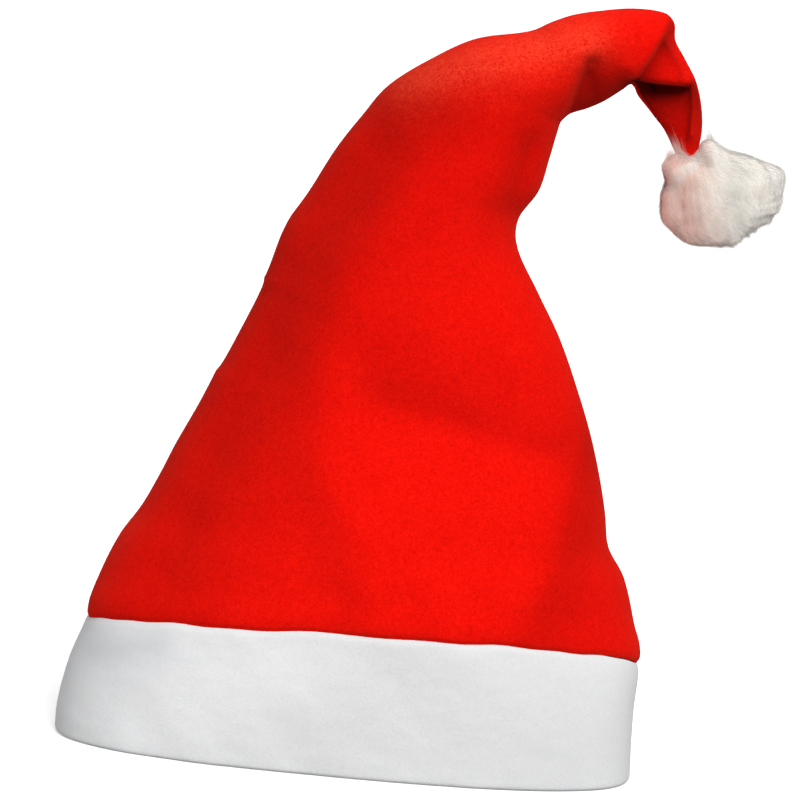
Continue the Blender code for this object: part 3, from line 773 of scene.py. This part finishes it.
def pompom_skin(ways, lift=0.0):
    reach = round_form(ways)
    x = POMPOM_MIDDLE[0] + ways[..., 0] * reach
    z = POMPOM_MIDDLE[2] + ways[..., 2] * reach
    folds = sum(fold_lift(fold, x, z) for fold in POMPOM_FOLDS)
    reach = reach + folds * np.clip(-2 * ways[..., 1], 0, 1) + LOCK_HEIGHT * lock_relief(ways)
    for number, (size, height) in enumerate(LUMPS):
        reach = reach + height * chance_waves(x + 0.6 * reach * ways[..., 1], z, size, 31 + number)
    return POMPOM_MIDDLE + ways * (reach + lift)[..., None]


def pompom_body(name):
    share = np.linspace(0.004, 0.996, BODY_ROWS)[:, None] * np.ones((1, BODY_COLUMNS))
    turn = 2 * math.pi * np.arange(BODY_COLUMNS)[None, :] / BODY_COLUMNS * np.ones((BODY_ROWS, 1))
    ways = pompom_way(share, turn)
    piece = sheet_mesh(name, pompom_skin(ways), ways, closed_round=True)
    made = bmesh.new()
    made.from_mesh(piece.data)
    bmesh.ops.holes_fill(made, edges=[edge for edge in made.edges if edge.is_boundary], sides=0)
    bmesh.ops.triangulate(made, faces=[face for face in made.faces if len(face.verts) > 4])
    bmesh.ops.recalc_face_normals(made, faces=made.faces)
    made.to_mesh(piece.data)
    made.free()
    piece.data.shade_smooth()
    return piece


pompom = pompom_body("pompom_body")
print("pompom body", len(pompom.data.polygons), "faces")

# %% [markdown]
# Fibres are far too many to place by hand, so they grow in one pass over arrays. Each one starts on
# the skin of the body, steps along the flow away from the root, and is pulled back to the skin after
# every step with a little more lift, so it hugs the form. Thin three-sided strands joined into one
# mesh look round at this size and stay light.

# %% Fibres
STRAND_TAPER = np.array((1.0, 1.0, 0.75, 0.15))
CLUMP_SWIRL, CHANCE_SWIRL = 0.32, 0.16
RAGGED_WAY = np.array((0.78, 0.0, -0.62))  # the side where the fibre's ends stand out most


def strands_mesh(name, paths, radii):
    """One mesh of tapered three-sided strands. Paths is strands x points x 3."""
    count, steps = paths.shape[:2]
    forward = np.gradient(paths, axis=1)
    forward /= np.maximum(np.linalg.norm(forward, axis=-1, keepdims=True), 1e-12)
    helper = np.where(np.abs(forward[..., 2:3]) < 0.8, np.array((0, 0, 1.0)), np.array((1.0, 0, 0)))
    across = np.cross(forward, helper)
    across /= np.linalg.norm(across, axis=-1, keepdims=True)
    upward = np.cross(across, forward)
    rings = []
    for k in range(3):
        angle = 2 * math.pi * k / 3
        spoke = across * math.cos(angle) + upward * math.sin(angle)
        rings.append(paths + spoke * radii[..., None])
    points = np.stack(rings, axis=2)
    number = np.arange(count * steps * 3).reshape(count, steps, 3)
    walls = []
    for k in range(3):
        j = (k + 1) % 3
        corners = (number[:, :-1, k], number[:, :-1, j], number[:, 1:, j], number[:, 1:, k])
        walls.append(np.stack(corners, -1))
    quads = np.concatenate([wall.reshape(-1, 4) for wall in walls])
    caps = np.concatenate([number[:, 0, ::-1], number[:, -1, :]])
    print(name, count, "strands,", 2 * len(quads) + len(caps), "triangles")
    return linked_piece(name, points, quads.tolist() + caps.tolist())


def chance_ways(count, chance):
    ways = chance.normal(size=(count, 3))
    return ways / np.linalg.norm(ways, axis=1, keepdims=True)


def flow_along(ways):
    """Two ways on the skin: from the root to the far side, and square to that."""
    away = ways * (ways * pole).sum(-1, keepdims=True) - pole
    away /= np.maximum(np.linalg.norm(away, axis=-1, keepdims=True), 1e-6)
    return away, np.cross(ways, away)


def pompom_fibres(name, count, seed, length, lift, radius):
    chance = np.random.default_rng(seed)
    ways = chance_ways(count, chance)
    clump = np.sin(9 * ways[:, 0] + 2) + np.sin(11 * ways[:, 1] + 5 * ways[:, 2])
    swirl = CLUMP_SWIRL * clump + chance.normal(0, CHANCE_SWIRL, count)
    ragged = np.sin(31 * ways[:, 0] + 3) * np.sin(37 * ways[:, 2] + 1) * np.sin(23 * ways[:, 1])
    low_right = np.clip((ways * RAGGED_WAY).sum(-1), 0, 1)
    lengths = chance.uniform(*length, count)
    lifts = chance.uniform(*lift, count) * (1 + low_right * (0.4 + 3.0 * np.clip(ragged, 0, 1)))
    steps = len(STRAND_TAPER)
    points = []
    for share in np.linspace(0, 1, steps):
        points.append(pompom_skin(ways, lifts * share**1.6 - 0.2 * MM * (1 - share)))
        away, around = flow_along(ways)
        bend = swirl * (0.6 + 0.8 * share)
        heading = away * np.cos(bend)[:, None] + around * np.sin(bend)[:, None]
        moved = points[-1] + heading * (lengths / (steps - 1))[:, None] - POMPOM_MIDDLE
        ways = moved / np.linalg.norm(moved, axis=1, keepdims=True)
    paths = np.stack(points, axis=1)
    radii = radius * STRAND_TAPER[None, :] * chance.uniform(0.7, 1.2, (count, 1))
    return strands_mesh(name, paths, radii)


fibres = [
    pompom_fibres("pompom_fibres_under", 6800, 21, (4 * MM, 9 * MM), (0.0, 0.9 * MM), 0.10 * MM),
    pompom_fibres("pompom_fibres_middle", 7000, 22, (4 * MM, 9 * MM), (0.2 * MM, 1.5 * MM), 0.07 * MM),
    pompom_fibres("pompom_fibres_over", 5900, 23, (3 * MM, 7 * MM), (0.5 * MM, 2.2 * MM), 0.05 * MM),
]

# %% [markdown]
# A few tufts slip out where the pompom is bound. Two lie over the red tip from the left, one fills
# the corner beside them, and one stands up to the tip's right. Each tuft is a loose bundle of strands
# along a curve, wider at its end.

# %% Tufts at the binding
# columns: strands, spread at the end, start, middle and end of the curve
TUFTS = {
    "left tuft": (170, 2.8 * MM, (0.1130, -0.0085, 0.2470), (0.1085, -0.0095, 0.2515),
                  (0.1062, -0.0070, 0.2575)),
    "low tuft": (160, 2.4 * MM, (0.1160, -0.0095, 0.2470), (0.1115, -0.0105, 0.2500),
                 (0.1080, -0.0095, 0.2520)),
    "right tuft": (560, 3.2 * MM, (0.1255, -0.0030, 0.2480), (0.1228, -0.0015, 0.2545),
                   (0.1202, 0.0000, 0.2600)),
    "corner tuft": (500, 3.0 * MM, (0.1090, -0.0040, 0.2440), (0.1065, -0.0030, 0.2480),
                    (0.1068, -0.0020, 0.2515)),
}
TUFT_RADIUS = 0.035 * MM


def tufts(name, seed):
    chance = np.random.default_rng(seed)
    paths = []
    for count, spread, start, middle, end in TUFTS.values():
        first, last = chance.uniform(0, 0.5, count), chance.uniform(0.6, 1.0, count)
        off = chance.normal(0, 1, (count, 3)) * spread * 0.6
        for_each = []
        for share in np.linspace(0, 1, len(STRAND_TAPER)):
            t = (first + (last - first) * share)[:, None]
            curve = (1 - t) ** 2 * np.array(start) + 2 * t * (1 - t) * np.array(middle)
            curve = curve + t**2 * np.array(end)
            for_each.append(curve + off * (0.35 + 0.65 * t))
        paths.append(np.stack(for_each, axis=1))
    paths = np.concatenate(paths)
    return strands_mesh(name, paths, TUFT_RADIUS * STRAND_TAPER[None, :] * np.ones((len(paths), 1)))


fibres.append(tufts("pompom_tufts", 41))

# %% [markdown]
# Felt has a thin fuzz of loose fibre ends. They stand off by a fraction of a millimetre, just enough
# to soften the outline and to catch light at the top of the bend.

# %% Fuzz on the felt
FUZZ_TAPER = np.array((1.0, 0.8, 0.2))
FUZZ_RADIUS = 0.020 * MM
FUZZ_LENGTH = (0.8 * MM, 2.4 * MM)
FUZZ_LIFT = (0.10 * MM, 0.45 * MM)
FUZZ_SPREAD = 0.5 * MM


def fuzz(name, piece, count, seed):
    """Short fibres that stand off the outer faces of a piece."""
    chance = np.random.default_rng(seed)
    mesh = piece.data
    corners = own_points(piece)
    normals = np.empty(len(mesh.vertices) * 3)
    mesh.vertices.foreach_get("normal", normals)
    outer = len(mesh.vertices) // 2
    normals = normals.reshape(-1, 3)
    areas = np.empty(len(mesh.polygons))
    mesh.polygons.foreach_get("area", areas)
    first = np.array([polygon.vertices[0] for polygon in mesh.polygons])
    weight = np.where(first < outer, areas, 0)
    picked = first[chance.choice(len(first), count, p=weight / weight.sum())]
    along = np.cross(normals[picked], chance.normal(size=(count, 3)))
    along /= np.maximum(np.linalg.norm(along, axis=1, keepdims=True), 1e-9)
    start = corners[picked] + along * chance.normal(0, FUZZ_SPREAD, (count, 1))
    length, lift = chance.uniform(*FUZZ_LENGTH, count), chance.uniform(*FUZZ_LIFT, count)
    paths = []
    for share in np.linspace(0, 1, len(FUZZ_TAPER)):
        paths.append(start + along * (length * share)[:, None] + normals[picked] * (lift * share)[:, None])
    paths = np.stack(paths, axis=1)
    paths[..., 2] = np.maximum(paths[..., 2], FUZZ_RADIUS)
    radii = FUZZ_RADIUS * FUZZ_TAPER[None, :] * np.ones((count, 1))
    return strands_mesh(name, paths, radii)


red_fuzz = [fuzz("felt_fuzz_front", front_panel, 4200, 51), fuzz("felt_fuzz_back", back_panel, 4200, 52)]
# painted shade at the band's left end, a darker smudge and grey patches
write_painted_light(band, FRONT, BAND_SHADE_AND_GREY, {})
write_painted_light(red_fuzz[0], FRONT)
write_painted_light(red_fuzz[1], BACK)
white_fuzz = fuzz("felt_fuzz_band", band, 3200, 53)

# %% [markdown]
# Felt is pressed fibre without a weave: tiny darker pits between lighter fibres, over slow clouds of
# slightly thicker and thinner felt. Three scales of noise on object coordinates give it that, as
# colour and as bump, and sheen adds the glow of the nap. The values stored on the pieces paint light
# and shade into the colour: painted shade in the folds and hollows of the felt and on the flank turned
# from the key, a painted shadow under the bend of the tip, a painted highlight on the top of the bend,
# painted shade at the band's left end with a darker smudge and grey patches, and on the pompom
# painted shade tinted by red light bounced from the crown.

# %% Felt materials
# columns: noise scale, detail, roughness, distortion, share of the colour, share of the bump
FELT_NOISE = (
    (1500.0, 2.0, 0.6, 1.0, 0.55, 0.5),
    (560.0, 3.0, 0.6, 0.8, 0.33, 0.5),
    (60.0, 3.0, 0.5, 0.0, 0.12, 0.0),
)
FELT_RAMP = (0.36, 0.50, 0.66)  # where the dark, middle and light colours stand
SPECK_CONTRAST = 4.0  # the painted highlight shows in specks
BUMP_DISTANCE = 0.0007


def math_node(tree, operation, first, second):
    return add_node(tree, "ShaderNodeMath", {0: first, 1: second}, operation=operation)


def colour_ramp(tree, factor, stops):
    """The colour of a ramp with (place, colour) stops."""
    ramp = tree.nodes.new("ShaderNodeValToRGB")
    elements = ramp.color_ramp.elements
    elements[0].position, elements[1].position = stops[0][0], stops[-1][0]
    elements[0].color, elements[1].color = stops[0][1], stops[-1][1]
    for place, colour in stops[1:-1]:
        elements.new(place).color = colour
    tree.links.new(factor, ramp.inputs["Fac"])
    return ramp.outputs["Color"]


def mixed_colour(tree, share, first, second):
    mix = tree.nodes.new("ShaderNodeMix")
    mix.data_type = "RGBA"
    fill_inputs(tree, mix, {"Factor": share, 6: first, 7: second})
    return mix.outputs[2]


def value_node(tree, name):
    """The value that write_value stored at each point."""
    node = tree.nodes.new("ShaderNodeAttribute")
    node.attribute_name = name
    return node.outputs["Fac"]


def object_noise(tree, scale, detail, roughness=0.5, distortion=0.0):
    place = tree.nodes.new("ShaderNodeTexCoord").outputs["Object"]
    return add_node(tree, "ShaderNodeTexNoise", {
        "Vector": place, "Scale": scale, "Detail": detail, "Roughness": roughness,
        "Distortion": distortion})


def felt_material(name, dark, mid, light, painted_highlight, painted_shade_and_grey, sheen_tint, sheen, bump_strength):
    made, tree = new_material(name)
    mixed = height = 0.0
    for *settings, colour_share, bump_share in FELT_NOISE:
        noise = object_noise(tree, *settings)
        mixed = math_node(tree, "ADD", mixed, math_node(tree, "MULTIPLY", noise, colour_share))
        height = math_node(tree, "ADD", height, math_node(tree, "MULTIPLY", noise, bump_share))
    colour = colour_ramp(tree, mixed, tuple(zip(FELT_RAMP, (dark, mid, light))))
    # the stored values mix a painted highlight in specks, then painted shade, into the felt's colour
    specks = math_node(tree, "SUBTRACT", mixed, FELT_RAMP[0])
    specks = math_node(tree, "MULTIPLY", specks, SPECK_CONTRAST)
    painted_highlight_share = math_node(tree, "MULTIPLY", value_node(tree, "painted_highlight"), specks)
    colour = mixed_colour(tree, painted_highlight_share, colour, painted_highlight)
    colour = mixed_colour(tree, value_node(tree, "painted_shade_and_grey"), colour, painted_shade_and_grey)
    bump = add_node(tree, "ShaderNodeBump", {
        "Strength": bump_strength, "Distance": BUMP_DISTANCE, "Height": height})
    fill_inputs(tree, tree.nodes["Principled BSDF"], {
        "Base Color": colour, "Normal": bump, "Roughness": 0.95, "Specular IOR Level": 0.03,
        "Sheen Weight": sheen, "Sheen Roughness": 0.55, "Sheen Tint": sheen_tint})
    return made


# the fourth colour is the painted highlight and the fifth the painted shade, which on the white felt is
# also the grey of its patches
red_felt = felt_material("red_felt", (0.66, 0.0026, 0.0010, 1), (0.81, 0.0043, 0.0014, 1),
                         (0.92, 0.0085, 0.0028, 1), (1.0, 0.062, 0.026, 1),
                         (0.020, 0.0004, 0.0003, 1), (1.0, 0.30, 0.13, 1), 0.05, 0.45)
white_felt = felt_material("white_felt", (0.690, 0.697, 0.707, 1), (0.738, 0.743, 0.748, 1),
                           (0.768, 0.771, 0.773, 1), (0.85, 0.85, 0.85, 1),
                           (0.44, 0.455, 0.475, 1), (1, 1, 1, 1), 0.05, 0.22)


RED_BOUNCE_SHADE = (0.74, 0.50, 0.43, 1)  # painted shade tinted by red light bounced from the crown
RED_BOUNCE_LEAN, RED_BOUNCE_REACH, RED_BOUNCE_START = 0.35, 0.030, 0.08
RED_BOUNCE_MOST, RED_BOUNCE_LIMIT = 0.62, 0.85  # without and with the lines
# lines on the pompom's front with more or less of that painted shade, as in the fold tables:
# more in its grooves, less on the roll between them
RED_BOUNCE_LINES = (
    (0.24, 0.0024, 0.0007, 0.0005, (
        (0.1195, 0.2458), (0.1145, 0.2398), (0.1124, 0.2333), (0.1126, 0.2270), (0.1156, 0.2202))),
    (0.40, 0.0018, 0.0014, 0.0006, ((0.1144, 0.2492), (0.1091, 0.2472), (0.1062, 0.2446))),
    (0.30, 0.0010, 0.0020, 0.0006, ((0.1072, 0.2340), (0.1070, 0.2281), (0.1092, 0.2220))),
    (-0.40, 0.0014, 0.0016, 0.0005, ((0.1165, 0.2475), (0.1122, 0.2435), (0.1082, 0.2361))),
)


# painted shade tinted by red bounce light, strongest on the pompom's side towards the crown
def write_red_bounce_shade(piece):
    corners = own_points(piece)
    off = corners - POMPOM_MIDDLE
    towards_crown = (-off[:, 0] - RED_BOUNCE_LEAN * off[:, 2]) / RED_BOUNCE_REACH
    share = np.clip(towards_crown + RED_BOUNCE_START, 0, RED_BOUNCE_MOST)
    lines = sum(fold_lift(line, corners[:, 0], corners[:, 2]) for line in RED_BOUNCE_LINES)
    write_value(piece, "red_bounce_shade", np.clip(share + lines * (off[:, 1] < 0), 0, RED_BOUNCE_LIMIT))


for piece in (pompom, *fibres):
    write_red_bounce_shade(piece)


CLOUD_SCALE, CLOUD_DETAIL, CLOUD_DARK = 130.0, 4.0, 0.90
SUBSURFACE_RADIUS = (0.013, 0.011, 0.010)


def fibre_material(name, colour, subsurface, alpha):
    made, tree = new_material(name)
    darker = [part * CLOUD_DARK for part in colour]
    cloud = object_noise(tree, CLOUD_SCALE, CLOUD_DETAIL)
    white = colour_ramp(tree, cloud, ((0.3, (*darker, 1)), (0.7, (*colour, 1))))
    # the base colour takes on the painted red-bounce shade by the stored value
    fill_inputs(tree, tree.nodes["Principled BSDF"], {
        "Base Color": mixed_colour(tree, value_node(tree, "red_bounce_shade"), white, RED_BOUNCE_SHADE),
        "Roughness": 0.9, "Specular IOR Level": 0.1, "Sheen Weight": 0.2,
        "Subsurface Weight": subsurface, "Subsurface Radius": SUBSURFACE_RADIUS,
        "Subsurface Scale": 1.0, "Alpha": alpha})
    return made


POMPOM_WHITE = (0.720, 0.695, 0.645)
soft_fibre = fibre_material("pompom_fibre_body", POMPOM_WHITE, 0.85, 1.0)
loose_fibre = fibre_material("pompom_fibre_strands", POMPOM_WHITE, 0.0, 0.21)
white_loose = fibre_material("white_felt_fuzz", (0.78, 0.78, 0.78), 0.0, 1.0)

# %% [markdown]
# Last, each piece gets its material and rides on the frame's one body, and the frame's own parts
# are hidden.

# %% Join the pieces to the frame
for piece, material, slot in (
    (front_panel, red_felt, "red_felt"),
    (back_panel, red_felt, "red_felt"),
    (band, white_felt, "white_felt"),
    (pompom, soft_fibre, "pompom_fibre"),
    *((piece, loose_fibre, "pompom_fibre") for piece in fibres),
    *((piece, red_felt, "red_felt") for piece in red_fuzz),
    (white_fuzz, white_loose, "white_felt"),
):
    piece.data.materials.append(material)
    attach(piece, "root")
for piece in fibres:
    piece.visible_shadow = False  # real fibre lets the light through
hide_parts("crown_front_panel")
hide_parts("crown_back_panel")
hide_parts("band")
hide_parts("pompom")
